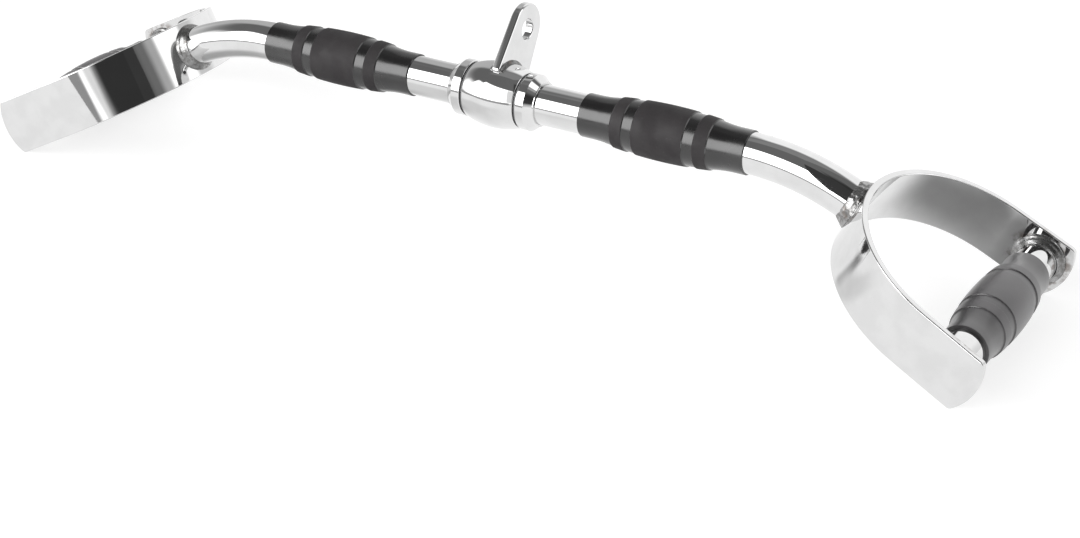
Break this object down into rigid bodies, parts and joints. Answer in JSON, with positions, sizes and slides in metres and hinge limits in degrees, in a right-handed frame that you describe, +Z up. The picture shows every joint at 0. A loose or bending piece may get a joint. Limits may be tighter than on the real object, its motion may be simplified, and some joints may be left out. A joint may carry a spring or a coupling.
{
  "type": "lat pulldown bar",
  "caption": "Chromed cable-machine bar with bent ends, a revolving eye hanger, moulded rubber grips and strap stirrups with parallel hand grips.",
  "frame": {"origin": "on the surface that the bar lies on with the ends of its stirrup arms, under the middle of the main bar", "axes": "+X along the main bar, +Y across it towards the side that the hanger lug leans to, +Z up"},
  "size_m": [0.7706, 0.1742, 0.1515],
  "materials": {
    "tube_chrome": "bright chrome plate over drawn steel tube, with faint draw lines along it",
    "strap_chrome": "chrome plate over rolled flat strap, with soft ripples from the rolling",
    "hanger_chrome": "bright chrome plate over turned steel, with fine rings from the lathe",
    "weld_bead": "plated weld bead, rippled and slightly dull",
    "grip_rubber": "charcoal moulded rubber: fine matt texture on the bands, smooth grooves and ends",
    "bush_nylon": "dark grey nylon bearing bush",
    "screw_black": "black oxide set screw"
  },
  "bodies": {
    "bar": {"main_bar": "tube_chrome", "bar_grip_left": "grip_rubber", "collar_left": "hanger_chrome", "collar_screw_left": "screw_black", "stirrup_strap_left": "strap_chrome", "strap_weld_left": "weld_bead", "handle_tube_left": "tube_chrome", "handle_weld_left_front": "weld_bead", "handle_weld_left_back": "weld_bead", "handle_grip_left": "grip_rubber", "bar_grip_right": "grip_rubber", "collar_right": "hanger_chrome", "collar_screw_right": "screw_black", "stirrup_strap_right": "strap_chrome", "strap_weld_right": "weld_bead", "handle_tube_right": "tube_chrome", "handle_weld_right_front": "weld_bead", "handle_weld_right_back": "weld_bead", "handle_grip_right": "grip_rubber"},
    "hanger": {"hanger_sleeve": "hanger_chrome", "hanger_lug": "hanger_chrome", "hanger_bush_left": "bush_nylon", "hanger_bush_right": "bush_nylon", "lug_weld_left": "weld_bead", "lug_weld_right": "weld_bead"}
  },
  "joints": [
    {"name": "hanger_spin", "type": "hinge", "parent": "bar", "child": "hanger", "pos_m": [0, 0, 0.09414], "axis": [1, 0, 0], "continuous": true}
  ]
}
